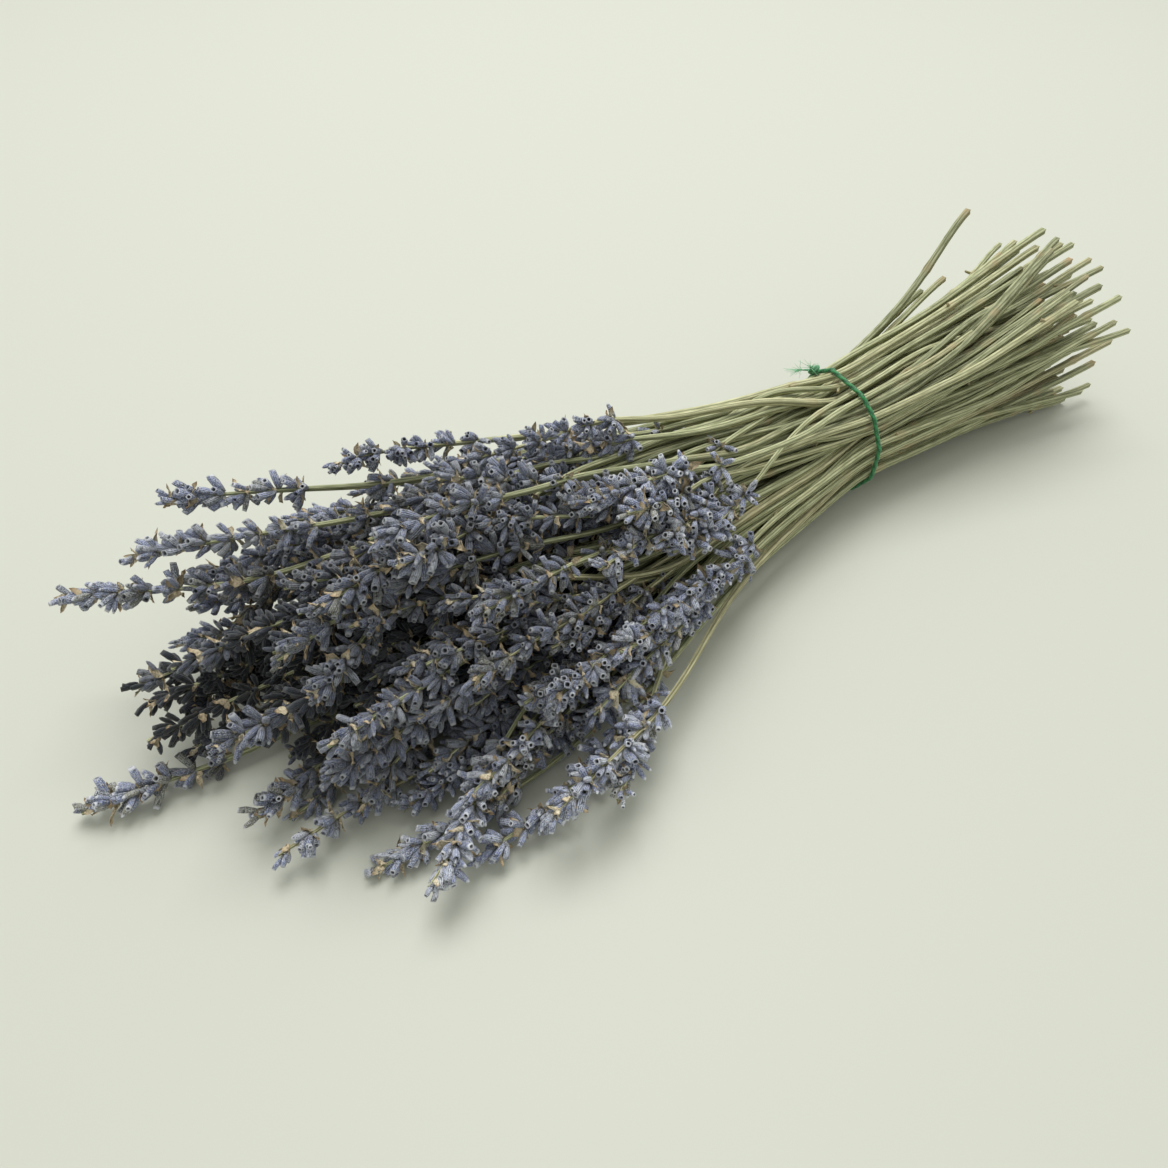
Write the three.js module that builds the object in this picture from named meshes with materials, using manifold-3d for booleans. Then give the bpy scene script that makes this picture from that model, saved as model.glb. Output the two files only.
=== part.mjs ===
// A bunch of dried lavender lying on a table, held by one elastic tie. Millimetres, +Z up.
// +X runs along the bunch to the cut ends, +Y to its far side. The outer stalks are modelled one by
// one, as a stem and a flower spike. The inner ones are sheaves of stalks that lie together.
import * as THREE from 'three'
import { mergeVertices } from 'three/addons/utils/BufferGeometryUtils.js'
import Module from 'manifold-3d'

// Overall sizes of the bunch, measured from the tie and from the table.
const HEAD_REACH = 232
const HEAD_HALF_WIDTH = 56
const HEAD_HEIGHT = 62
const CUT_REACH = 120
const CUT_HALF_WIDTH = 30
const CUT_HEIGHT = 60

// On both sides of the tie the stalks keep together before they fan out: how far they keep together,
// as a share of the way, and how much of a straight fan they have reached by then.
const HEAD_FAN_START = 0.4
const CUT_FAN_START = 0.33
const HEAD_FAN_LAG = 0.5
const CUT_FAN_LAG = 0.32

// Stalks.
const STEM_WIDTH = 2.4
const WHORL_RADIUS = 5.2
const WHORL_SPACING = 8.5
const SPIKE_WAIST_RADIUS = 2.6
const SPIKE_TIP_RADIUS = 1.8
const SPIKE_KNOBBLE = 0.12

// Sheaves.
const STALKS_PER_SHEAF = 14
const SHEAF_PACKING = 0.9
const SHEAF_HEAD_RADIUS = 9.8
const SHEAF_NECK_RADIUS = 7
const SHEAF_TIP_RADIUS = 4.5
const SHEAF_CUT_SPREAD = 1.3
const SHEAF_KNOBBLE = 0.25

// Tie.
const TIE_THICKNESS = 1.5
const KNOT_RADIUS = 2
const KNOT_ANGLE = 52
const TIE_TAIL = 7.5

// Room left between pieces that touch.
const GAP = 0.3

// Facets, and how the strands settle.
const STEM_SIDES = 4
const SPIKE_SIDES = 6
const SHEAF_STEM_SIDES = 8
const SHEAF_HEAD_SIDES = 10
const TIE_SIDES = 8
const TIE_STEPS = 44
const STATION_STEP = 14
const PASSES = 700
const STALK_FIRMNESS = 0.12
const SHEAF_FIRMNESS = 0.05
const STRAIGHTENING = 0.25
const SQUEEZE = 0.08
const PUSH = 0.8

const STEM_REACH = STEM_WIDTH / Math.SQRT2
const PACKING = 0.75
const OUTER_SHARE = 0.93
const SHEAF_TIE_RADIUS = (STEM_WIDTH / 2) * Math.sqrt(STALKS_PER_SHEAF / SHEAF_PACKING)
const TIE_LIFT = TIE_THICKNESS + GAP

// A place in the flower mass, as shares of its reach, half width and height.
const headPlace = ([along, across, up]) =>
  new THREE.Vector3(-along * HEAD_REACH, across * HEAD_HALF_WIDTH, up * HEAD_HEIGHT)

// A place in the cut ends, as shares of their reach, half width and height.
const cutPlace = ([along, across, up]) =>
  new THREE.Vector3(along * CUT_REACH, across * CUT_HALF_WIDTH, up * CUT_HEIGHT)

const outerStalk = (tip, middle, whorls, angle, end, fanStart = CUT_FAN_START) => ({
  tip: headPlace(tip),
  middle: headPlace(middle),
  whorls,
  angle,
  end: cutPlace(end),
  fanStart
})

// The outer stalks: the place of the spike's tip, the place of its middle, how many whorls it has,
// the angle at which the stem passes the tie, the place of its cut end, and how far a stray end
// keeps to the bundle.
const OUTER_STALKS = [
  outerStalk([1.08, 0.27, 0.07], [0.97, 0.25, 0.1], 4, 262, [0.98, -0.55, 0.1]),
  outerStalk([1.0, 1.16, 0.59], [0.89, 0.76, 0.6], 6, 20, [0.49, 0.59, 0.87], 0.5),
  outerStalk([0.92, 1.16, 0.74], [0.84, 0.88, 0.7], 5, 32, [0.53, 0.43, 0.96], 0.62),
  outerStalk([0.86, 1.02, 0.76], [0.76, 0.88, 0.72], 6, 44, [0.67, 0.77, 1.24], 0.62),
  outerStalk([0.57, 0.68, 0.84], [0.46, 0.44, 0.65], 5, 58, [0.95, 0.28, 1.0]),
  outerStalk([0.98, 0.64, 0.38], [0.88, 0.54, 0.42], 6, 335, [0.94, 0.4, 0.3]),
  outerStalk([0.99, 0.38, 0.22], [0.9, 0.3, 0.31], 5, 300, [0.9, 0.1, 0.12]),
  outerStalk([0.86, -0.67, 0.11], [0.75, -0.7, 0.18], 6, 228, [1.03, -0.97, 0.1]),
  outerStalk([0.93, -0.44, 0.11], [0.82, -0.42, 0.16], 6, 248, [0.92, -0.8, 0.06]),
  outerStalk([0.77, -0.92, 0.12], [0.67, -0.94, 0.18], 6, 212, [1.0, -0.9, 0.28]),
  outerStalk([0.7, -0.98, 0.2], [0.6, -0.88, 0.28], 6, 196, [1.04, -0.93, 0.42]),
  outerStalk([0.59, -0.86, 0.28], [0.49, -0.62, 0.34], 5, 182, [0.95, -0.75, 0.55]),
  outerStalk([0.5, -0.66, 0.38], [0.4, -0.42, 0.42], 5, 168, [1.05, -0.73, 0.5]),
  outerStalk([0.41, -0.46, 0.5], [0.33, -0.3, 0.48], 4, 94, [0.93, -0.62, 0.68]),
  outerStalk([0.69, 0.84, 0.88], [0.58, 0.66, 0.78], 6, 72, [0.9, 0.12, 0.84]),
  outerStalk([0.43, 0.4, 0.68], [0.33, 0.28, 0.48], 5, 86, [0.98, -0.05, 0.92]),
  outerStalk([0.5, -0.26, 0.94], [0.4, -0.2, 0.78], 5, 128, [1.06, -0.23, 0.83]),
  outerStalk([0.72, 0.08, 1.04], [0.62, 0.06, 0.98], 6, 114, [0.88, -0.3, 0.95]),
  outerStalk([0.6, 0.42, 0.94], [0.5, 0.34, 0.84], 6, 100, [1.02, -0.12, 0.72])
]

const sheafOfStalks = (tip, middle, neck, share, angle, end) => ({
  tip: headPlace(tip),
  middle: headPlace(middle),
  neck: -neck * HEAD_REACH,
  share,
  angle,
  end: cutPlace(end)
})

// The sheaves: the places of the flowers' tips and middle, the share of the reach at which the
// flowers begin, the share of the tie's radius and the angle at which the stems pass the tie, and
// the place of the cut ends.
const SHEAVES = [
  sheafOfStalks([0.85, -0.6, 0.17], [0.65, -0.66, 0.17], 0.47, 0.7, 215, [0.96, -0.7, 0.22]),
  sheafOfStalks([0.93, -0.14, 0.17], [0.68, -0.24, 0.17], 0.41, 0.7, 262, [0.92, -0.25, 0.13]),
  sheafOfStalks([0.96, 0.3, 0.17], [0.7, 0.22, 0.17], 0.4, 0.7, 312, [0.98, 0.15, 0.2]),
  sheafOfStalks([0.95, 0.78, 0.34], [0.68, 0.64, 0.24], 0.37, 0.7, 0, [0.9, 0.35, 0.45]),
  sheafOfStalks([0.87, -0.4, 0.46], [0.66, -0.5, 0.45], 0.44, 0.7, 166, [0.98, -0.72, 0.55]),
  sheafOfStalks([0.94, 0.04, 0.48], [0.68, -0.02, 0.48], 0.36, 0.28, 270, [0.94, -0.25, 0.42]),
  sheafOfStalks([0.98, 0.5, 0.5], [0.7, 0.36, 0.48], 0.39, 0.28, 30, [0.96, 0.08, 0.55]),
  sheafOfStalks([0.78, -0.14, 0.76], [0.56, -0.16, 0.77], 0.35, 0.7, 117, [0.92, -0.4, 0.78]),
  sheafOfStalks([0.86, 0.26, 0.78], [0.6, 0.24, 0.79], 0.38, 0.7, 66, [0.98, 0.02, 0.86]),
  sheafOfStalks([0.88, 0.84, 0.6], [0.62, 0.66, 0.6], 0.4, 0.28, 150, [0.86, -0.3, 0.6])
]

// The stations along X at which every strand has a point. One of them is at the tie.
const tieStation = Math.ceil((1.1 * HEAD_REACH) / STATION_STEP)
const lastStation = tieStation + Math.ceil((1.1 * CUT_REACH) / STATION_STEP)
const stations = []
for (let k = 0; k <= lastStation; k += 1) {
  stations.push((k - tieStation) * STATION_STEP)
}

const lerp = THREE.MathUtils.lerp
const clamp = THREE.MathUtils.clamp

// The place at x on a line through points that are sorted by x.
function along(points, x) {
  const after = points.findIndex((p) => p.x >= x)
  const k = clamp(after < 0 ? points.length - 1 : after, 1, points.length - 1)
  const a = points[k - 1]
  const b = points[k]
  const t = clamp((x - a.x) / (b.x - a.x), 0, 1)
  return { y: lerp(a.y, b.y, t), z: lerp(a.z, b.z, t) }
}

// The bundle's radius in the tie, from the stems that it holds.
const held = OUTER_STALKS.length * STEM_REACH ** 2 + SHEAVES.length * SHEAF_TIE_RADIUS ** 2
const BUNDLE_RADIUS = Math.sqrt(held / PACKING)
const TIE_CENTRE = { y: 0, z: BUNDLE_RADIUS + TIE_LIFT }

function inTie(share, angle) {
  const a = THREE.MathUtils.degToRad(angle)
  const r = share * BUNDLE_RADIUS
  return new THREE.Vector3(0, TIE_CENTRE.y + r * Math.cos(a), TIE_CENTRE.z + r * Math.sin(a))
}

// Where a stalk that passes the tie at a place starts to fan out towards another place.
function leaving(tied, towards, fanStart, fanLag) {
  const place = tied.clone().lerp(towards, fanStart * fanLag)
  place.x = towards.x * fanStart
  return place
}

// A stalk's line, from the flowers' tip to the cut end.
function stalkLine(tip, middle, tied, end, cutFanStart) {
  const toHead = leaving(tied, middle, HEAD_FAN_START, HEAD_FAN_LAG)
  const toCut = leaving(tied, end, cutFanStart, CUT_FAN_LAG)
  return [tip, middle, toHead, tied, toCut, end]
}

// Outer radius of a spike at a distance from its tip, without the waists between its whorls.
function spikeReach(fromTip) {
  const grown = clamp(fromTip / (1.5 * WHORL_SPACING), 0, 1)
  return lerp(SPIKE_TIP_RADIUS, WHORL_RADIUS, grown)
}

function outerStrand(stalk) {
  const tipX = stalk.tip.x
  const neckX = tipX + (stalk.whorls + 0.3) * WHORL_SPACING
  const slope = (stalk.middle.y - stalk.tip.y) / (stalk.middle.x - stalk.tip.x)
  const stretch = Math.sqrt(1 + slope ** 2)
  const tied = inTie(OUTER_SHARE, stalk.angle)
  return {
    firm: STALK_FIRMNESS,
    tipX,
    neckX,
    endX: stalk.end.x,
    points: stalkLine(stalk.tip, stalk.middle, tied, stalk.end, stalk.fanStart),
    reach: (x) => (x < neckX ? spikeReach(x - tipX) * stretch : STEM_REACH),
    sides: (x) => (x < neckX + STATION_STEP ? SPIKE_SIDES : STEM_SIDES)
  }
}

// Outer radius of a sheaf at x: it swells from its tips to its flowers, narrows to the tie and
// spreads a little to its cut ends.
function sheafReach(tipX, neckX, endX, x) {
  if (x < neckX) {
    const t = clamp((x - tipX) / (neckX - tipX), 0, 1)
    const end = t < 0.5 ? SHEAF_TIP_RADIUS : SHEAF_NECK_RADIUS
    return lerp(end, SHEAF_HEAD_RADIUS, Math.sqrt(Math.sin(Math.PI * t)))
  }
  if (x < 0) {
    return lerp(SHEAF_TIE_RADIUS, SHEAF_NECK_RADIUS, (x / neckX) ** 2)
  }
  return lerp(SHEAF_TIE_RADIUS, SHEAF_TIE_RADIUS * SHEAF_CUT_SPREAD, x / endX)
}

function sheafStrand(sheaf) {
  const tipX = sheaf.tip.x
  const neckX = sheaf.neck
  const endX = sheaf.end.x
  const tied = inTie(sheaf.share, sheaf.angle)
  return {
    firm: SHEAF_FIRMNESS,
    tipX,
    neckX,
    endX,
    points: stalkLine(sheaf.tip, sheaf.middle, tied, sheaf.end, CUT_FAN_START),
    reach: (x) => sheafReach(tipX, neckX, endX, x),
    sides: (x) => (x < neckX + STATION_STEP ? SHEAF_HEAD_SIDES : SHEAF_STEM_SIDES)
  }
}

const outerStrands = OUTER_STALKS.map(outerStrand)
const sheafStrands = SHEAVES.map(sheafStrand)
const strands = [...outerStrands, ...sheafStrands]

// A strand's outer radius at a station is the widest within half a step of it.
function stationRadius(strand, x) {
  const nearby = [-0.5, 0, 0.5].map((share) => x + share * STATION_STEP)
  return Math.max(...nearby.map((near) => strand.reach(clamp(near, strand.tipX, strand.endX))))
}

for (const strand of strands) {
  strand.first = stations.findIndex((x) => x > strand.tipX) - 1
  strand.last = stations.findIndex((x) => x >= strand.endX)
  strand.goal = stations.map((x) => along(strand.points, x))
  strand.line = strand.goal.map((p) => ({ ...p }))
  strand.radius = stations.map((x) => stationRadius(strand, x))
}

// The half height of a strand's section, which has a flat side down.
const halfHeight = (strand, k) => strand.radius[k] * Math.cos(Math.PI / strand.sides(stations[k]))

// Each point moves a little towards where it should lie, and the line straightens.
function pullToGoal(strand, weight) {
  for (let k = strand.first; k <= strand.last; k += 1) {
    const p = strand.line[k]
    const goal = strand.goal[k]
    p.y += (goal.y - p.y) * weight
    p.z += (goal.z - p.z) * weight
  }
}

function straighten(strand, weight) {
  const { line, first, last } = strand
  for (let k = first + 1; k < last; k += 1) {
    line[k].y += ((line[k - 1].y + line[k + 1].y) / 2 - line[k].y) * weight
    line[k].z += ((line[k - 1].z + line[k + 1].z) / 2 - line[k].z) * weight
  }
}

// Two strands keep their radii and the gap apart at a share t of the way from station k to the next.
function pushPairApart(a, b, k, t) {
  const y = lerp(b.line[k].y - a.line[k].y, b.line[k + 1].y - a.line[k + 1].y, t)
  const z = lerp(b.line[k].z - a.line[k].z, b.line[k + 1].z - a.line[k + 1].z, t)
  const room = lerp(a.radius[k] + b.radius[k], a.radius[k + 1] + b.radius[k + 1], t) + GAP * 1.5
  const distance = Math.max(Math.hypot(y, z), 1e-6)
  if (distance >= room) {
    return
  }
  const push = ((room - distance) / distance) * PUSH
  const share = b.radius[k] / (a.radius[k] + b.radius[k])
  for (const [station, weight] of [[k, 1 - t], [k + 1, t]]) {
    a.line[station].y -= y * push * weight * share
    a.line[station].z -= z * push * weight * share
    b.line[station].y += y * push * weight * (1 - share)
    b.line[station].z += z * push * weight * (1 - share)
  }
}

function pushApart(all) {
  for (let i = 0; i < all.length; i += 1) {
    for (let j = i + 1; j < all.length; j += 1) {
      const from = Math.max(all[i].first, all[j].first)
      const to = Math.min(all[i].last, all[j].last)
      for (let k = from; k < to; k += 1) {
        pushPairApart(all[i], all[j], k, 0)
        pushPairApart(all[i], all[j], k, 1 / 3)
        pushPairApart(all[i], all[j], k, 2 / 3)
      }
      if (to >= from && to > 0) {
        pushPairApart(all[i], all[j], to - 1, 1)
      }
    }
  }
}

// The elastic draws the stems together where they pass it.
function squeeze(strand, weight) {
  for (const k of [tieStation - 1, tieStation, tieStation + 1]) {
    const p = strand.line[k]
    const pull = k === tieStation ? weight : weight / 3
    p.y += (TIE_CENTRE.y - p.y) * pull
    p.z += (TIE_CENTRE.z - p.z) * pull
  }
}

// Every strand lies on the table or above it, and the tie passes under the lowest ones.
function layOnTable(strand) {
  for (let k = strand.first; k <= strand.last; k += 1) {
    const lowest = k === tieStation ? strand.radius[k] + TIE_LIFT : halfHeight(strand, k)
    strand.line[k].z = Math.max(strand.line[k].z, lowest)
  }
}

for (let pass = 0; pass < PASSES; pass += 1) {
  const ease = 1 - pass / PASSES
  for (const strand of strands) {
    pullToGoal(strand, strand.firm * ease)
    straighten(strand, STRAIGHTENING * ease)
    squeeze(strand, SQUEEZE * ease)
  }
  pushApart(strands)
  strands.forEach(layOnTable)
}

// A number from 0 to 1 that looks random and depends only on u and v.
function cornerNoise(u, v) {
  const wave = Math.sin(u * 12.9898 + v * 78.233) * 437.585453
  return wave - Math.floor(wave)
}

// A strand's centre and outer radius at x, between two stations.
function strandAt(strand, x) {
  const k = clamp(stations.findIndex((s) => s > x) - 1, strand.first, strand.last - 1)
  const t = (x - stations[k]) / STATION_STEP
  return {
    y: lerp(strand.line[k].y, strand.line[k + 1].y, t),
    z: lerp(strand.line[k].z, strand.line[k + 1].z, t),
    radius: lerp(strand.radius[k], strand.radius[k + 1], t)
  }
}

// One ring of a section with a flat side down, centred at a strand's line. Roughness pulls single
// corners in, except the two that may rest on the table.
function ring(strand, x, radius, sides, rough = 0) {
  const { y, z } = strandAt(strand, x)
  const corners = []
  for (let j = 0; j < sides; j += 1) {
    const a = -Math.PI / 2 + Math.PI / sides + (j * 2 * Math.PI) / sides
    const resting = j === 0 || j === sides - 1
    const r = resting ? radius : radius * (1 - rough * cornerNoise(x + y, j + z))
    corners.push(new THREE.Vector3(x, y + r * Math.cos(a), z + r * Math.sin(a)))
  }
  return corners
}

// A closed skin over rings of corners, with flat ends, or joined end to end.
function skin(rings, joined = false) {
  const sides = rings[0].length
  const positions = rings.flatMap((corners) => corners.flatMap((p) => p.toArray()))
  const faces = []
  const spans = joined ? rings.length : rings.length - 1
  for (let i = 0; i < spans; i += 1) {
    const a = i * sides
    const b = ((i + 1) % rings.length) * sides
    for (let j = 0; j < sides; j += 1) {
      const n = (j + 1) % sides
      faces.push(a + j, a + n, b + j, b + j, a + n, b + n)
    }
  }
  const last = (rings.length - 1) * sides
  for (let j = 1; j < sides - 1 && !joined; j += 1) {
    faces.push(0, j + 1, j, last, last + j, last + j + 1)
  }
  const geometry = new THREE.BufferGeometry()
  geometry.setAttribute('position', new THREE.Float32BufferAttribute(positions, 3))
  geometry.setIndex(faces)
  geometry.computeVertexNormals()
  return geometry
}

const stemMaterials = ['#8d9474', '#99a07d', '#7f8867', '#a29f7a'].map(
  (color) => new THREE.MeshStandardMaterial({ color, roughness: 0.85, metalness: 0 })
)
const flowerMaterials = ['#5d5b76', '#686683', '#524f69', '#6f6a80'].map(
  (color) => new THREE.MeshStandardMaterial({ color, roughness: 0.95, metalness: 0 })
)
const tieMaterial = new THREE.MeshStandardMaterial({ color: '#2f7d4a', roughness: 0.6, metalness: 0 })

const bunch = new THREE.Group()

function addMesh(name, geometry, material) {
  const mesh = new THREE.Mesh(geometry, material)
  mesh.name = name
  bunch.add(mesh)
}

const stationsBetween = (from, to) =>
  [from, ...stations.filter((x) => x > from + 2 && x < to - 2), to]

// A stem is square, and runs from its spike's neck to its cut end.
function stem(strand) {
  const places = stationsBetween(strand.neckX + GAP / 2, strand.endX)
  return skin(places.map((x) => ring(strand, x, STEM_REACH, STEM_SIDES)))
}

// A spike swells at each whorl of flowers and narrows between them.
function spike(strand, whorls) {
  const base = strand.neckX - GAP / 2
  const rings = [ring(strand, strand.tipX, SPIKE_TIP_RADIUS, SPIKE_SIDES)]
  for (let w = 0; w < whorls; w += 1) {
    const middle = strand.tipX + (w + 0.7) * WHORL_SPACING
    const waist = middle + WHORL_SPACING / 2
    const swell = Math.min(spikeReach(middle - strand.tipX), WHORL_RADIUS)
    rings.push(ring(strand, middle, swell, SPIKE_SIDES, SPIKE_KNOBBLE))
    if (w < whorls - 1) {
      rings.push(ring(strand, waist, SPIKE_WAIST_RADIUS, SPIKE_SIDES))
    }
  }
  rings.push(ring(strand, base, STEM_REACH, SPIKE_SIDES))
  return skin(rings)
}

function sheafStems(strand) {
  const places = stationsBetween(strand.neckX + GAP / 2, strand.endX)
  return skin(places.map((x) => ring(strand, x, strandAt(strand, x).radius, SHEAF_STEM_SIDES)))
}

function sheafFlowers(strand) {
  const places = stationsBetween(strand.tipX, strand.neckX - GAP / 2)
  const reach = (x) => strandAt(strand, x).radius
  return skin(places.map((x) => ring(strand, x, reach(x), SHEAF_HEAD_SIDES, SHEAF_KNOBBLE)))
}

const numbered = (name, i) => name.replace('NN', String(i + 1).padStart(2, '0'))

outerStrands.forEach((strand, i) => {
  addMesh(numbered('stem_NN', i), stem(strand), stemMaterials[i % stemMaterials.length])
  const flowers = spike(strand, OUTER_STALKS[i].whorls)
  addMesh(numbered('flower_spike_NN', i), flowers, flowerMaterials[i % flowerMaterials.length])
})

sheafStrands.forEach((strand, i) => {
  addMesh(numbered('sheaf_NN_stems', i), sheafStems(strand), stemMaterials[i % stemMaterials.length])
  const flowers = sheafFlowers(strand)
  addMesh(numbered('sheaf_NN_flowers', i), flowers, flowerMaterials[i % flowerMaterials.length])
})

const wasm = await Module()
wasm.setup()

function solid(geometry) {
  const bare = geometry.clone()
  bare.deleteAttribute('normal')
  bare.deleteAttribute('uv')
  const merged = mergeVertices(bare)
  const vertProperties = Float32Array.from(merged.attributes.position.array)
  const triVerts = Uint32Array.from(merged.index.array)
  return new wasm.Manifold(new wasm.Mesh({ numProp: 3, vertProperties, triVerts }))
}

function geometryOf(manifold) {
  const { vertProperties, triVerts } = manifold.getMesh()
  const geometry = new THREE.BufferGeometry()
  geometry.setAttribute('position', new THREE.BufferAttribute(vertProperties, 3))
  geometry.setIndex(new THREE.BufferAttribute(triVerts, 1))
  geometry.computeVertexNormals()
  return geometry
}

// The tie's centre line is drawn tight round the stems that it holds.
function tieLine() {
  const outward = []
  for (let i = 0; i < 4 * TIE_STEPS; i += 1) {
    const a = (i * Math.PI) / (2 * TIE_STEPS)
    const n = { y: Math.cos(a), z: Math.sin(a) }
    const support = (s) => {
      const p = s.line[tieStation]
      return p.y * n.y + p.z * n.z + s.radius[tieStation]
    }
    const outer = strands.reduce((best, s) => (support(s) > support(best) ? s : best))
    const reach = outer.radius[tieStation] + GAP + TIE_THICKNESS / 2
    const p = outer.line[tieStation]
    outward.push(new THREE.Vector3(0, p.y + reach * n.y, p.z + reach * n.z))
  }
  return outward
}

// Even steps along a closed line of points.
function resample(points, steps) {
  const closed = [...points, points[0]]
  const runs = closed.slice(1).map((p, i) => p.distanceTo(closed[i]))
  const total = runs.reduce((sum, run) => sum + run, 0)
  const even = []
  let passed = 0
  let k = 0
  for (let i = 0; i < steps; i += 1) {
    const want = (i * total) / steps
    while (passed + runs[k] < want) {
      passed += runs[k]
      k += 1
    }
    even.push(closed[k].clone().lerp(closed[k + 1], (want - passed) / runs[k]))
  }
  return even
}

// The elastic's own section, round, at each step of its line.
function tieLoop(line) {
  const rings = line.map((p, i) => {
    const before = line[(i + line.length - 1) % line.length]
    const after = line[(i + 1) % line.length]
    const tangent = after.clone().sub(before).normalize()
    const outward = new THREE.Vector3(0, tangent.z, -tangent.y)
    const corners = []
    for (let j = 0; j < TIE_SIDES; j += 1) {
      const a = (j * 2 * Math.PI) / TIE_SIDES + Math.PI / TIE_SIDES
      const out = (Math.cos(a) * TIE_THICKNESS) / 2
      const side = (-Math.sin(a) * TIE_THICKNESS) / 2
      corners.push(p.clone().addScaledVector(outward, out).add(new THREE.Vector3(side, 0, 0)))
    }
    return corners
  })
  return skin(rings, true)
}

// The knot is a flattened lump over the loop, from which two short ends stand away.
function knot(line) {
  const a = THREE.MathUtils.degToRad(KNOT_ANGLE)
  const outward = new THREE.Vector3(0, Math.cos(a), Math.sin(a))
  const toCentre = (p) => p.clone().sub(new THREE.Vector3(0, TIE_CENTRE.y, TIE_CENTRE.z)).normalize()
  const nearness = (p) => toCentre(p).dot(outward)
  const place = line.reduce((best, p) => (nearness(p) > nearness(best) ? p : best))
  const centre = place.clone().addScaledVector(outward, KNOT_RADIUS * 0.6)
  const lump = new THREE.SphereGeometry(KNOT_RADIUS, 10, 8)
  lump.translate(...centre.toArray())
  let joined = solid(lump)
  for (const side of [-1, 1]) {
    const direction = new THREE.Vector3(-0.9, side * 0.55, 0.45).normalize()
    const end = new THREE.CylinderGeometry(TIE_THICKNESS * 0.4, TIE_THICKNESS * 0.5, TIE_TAIL, 8, 2)
    end.translate(0, TIE_TAIL / 2, 0)
    end.applyQuaternion(new THREE.Quaternion().setFromUnitVectors(new THREE.Vector3(0, 1, 0), direction))
    end.translate(...centre.toArray())
    joined = joined.add(solid(end))
  }
  return joined
}

const loopLine = resample(tieLine(), TIE_STEPS)
addMesh('elastic_tie', geometryOf(solid(tieLoop(loopLine)).add(knot(loopLine))), tieMaterial)

// The bunch stands on the middle of its own outline, at table height.
const box = new THREE.Box3().setFromObject(bunch)
const middle = box.getCenter(new THREE.Vector3())
bunch.position.set(-middle.x, -middle.y, -box.min.z)
bunch.updateMatrixWorld(true)

export default bunch
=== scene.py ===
import math
import random

import bpy
import numpy as np
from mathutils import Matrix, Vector


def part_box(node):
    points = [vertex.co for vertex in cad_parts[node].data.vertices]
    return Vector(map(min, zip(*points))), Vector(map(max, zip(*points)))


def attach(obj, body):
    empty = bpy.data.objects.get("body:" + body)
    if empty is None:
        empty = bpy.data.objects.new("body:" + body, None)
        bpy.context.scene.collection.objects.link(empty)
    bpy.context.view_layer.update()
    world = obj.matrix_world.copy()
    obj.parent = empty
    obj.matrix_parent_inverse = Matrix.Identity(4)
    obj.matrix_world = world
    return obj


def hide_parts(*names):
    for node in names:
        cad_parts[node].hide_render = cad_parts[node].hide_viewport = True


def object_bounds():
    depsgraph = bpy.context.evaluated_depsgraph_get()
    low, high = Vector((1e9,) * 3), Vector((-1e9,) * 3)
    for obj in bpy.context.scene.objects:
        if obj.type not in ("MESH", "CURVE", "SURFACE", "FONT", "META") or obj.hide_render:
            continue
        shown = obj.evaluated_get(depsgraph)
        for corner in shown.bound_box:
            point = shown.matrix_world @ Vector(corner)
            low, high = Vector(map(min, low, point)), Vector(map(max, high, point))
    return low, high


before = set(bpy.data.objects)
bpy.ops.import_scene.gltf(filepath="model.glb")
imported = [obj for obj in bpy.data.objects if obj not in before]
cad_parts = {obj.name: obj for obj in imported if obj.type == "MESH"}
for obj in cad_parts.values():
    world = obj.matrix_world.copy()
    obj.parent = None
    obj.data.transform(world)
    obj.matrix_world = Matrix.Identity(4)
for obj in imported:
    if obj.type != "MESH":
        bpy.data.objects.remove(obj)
cad_lo, cad_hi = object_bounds()


# ---- How the stalks lie -------------------------------------------------------------------
# Some 160 cut stalks lie side by side, drawn together by one tie and fanned out at both ends.
# An outer stalk follows its own CAD stem and spike. The stalks of a sheaf share the sheaf's
# space, and then all of them are pushed apart until none runs through another.
STATION_STEP = 0.005        # from one cross-section of the bunch to the next
STALKS_PER_SHEAF = 14
GOLDEN_ANGLE = math.radians(137.5)

TIP_TO_FIRST_WHORL = 0.0026
FOOT_OF_SPIKE = 0.004       # the flowers' reach below their lowest close whorl
REMOTE_WHORL_CHANCE = 0.35
REMOTE_WHORL_GAP = (0.013, 0.024)
CURL_START = 0.035          # below its spike, where a stalk begins to curl
OUTER_CURL = 0.0018
SHEAF_CURL = 0.012
OUTER_FIRMNESS = 0.5        # how hard a stalk is held to its first line as it settles
SHEAF_FIRMNESS = 0.05

STEM_ROOM = 0.00116         # half of what two bare stems keep between their middles
SPIKE_ROOM = 0.0036         # the same among the flowers, which reach into each other
SPIKE_FLOOR_ROOM = 0.0052
SPIKE_TAPER = 0.014
SETTLING_PASSES = 70
STRAIGHTENING = 0.3
PULL_OF_TIE = 0.02
PUSH_APART = 0.35
SMOOTHING_PASSES = 3
END_GAP = 0.0005

outer_numbers = sorted(n[-2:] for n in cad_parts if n.startswith("stem_"))
sheaf_numbers = sorted(n[6:8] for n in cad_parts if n.endswith("_stems"))
tie_corners = np.array([v.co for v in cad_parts["elastic_tie"].data.vertices])
tie_lower_half = tie_corners[tie_corners[:, 2] < np.ptp(tie_corners[:, 2]) / 2]
tie_x, tie_y = tie_lower_half[:, :2].mean(axis=0)
tie_z = np.ptp(tie_corners[:, 2]) / 2

stations = np.arange(cad_lo.x, cad_hi.x + STATION_STEP, STATION_STEP)
at_tie = int(np.argmin(abs(stations - tie_x)))
draw = random.Random(7)


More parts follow.
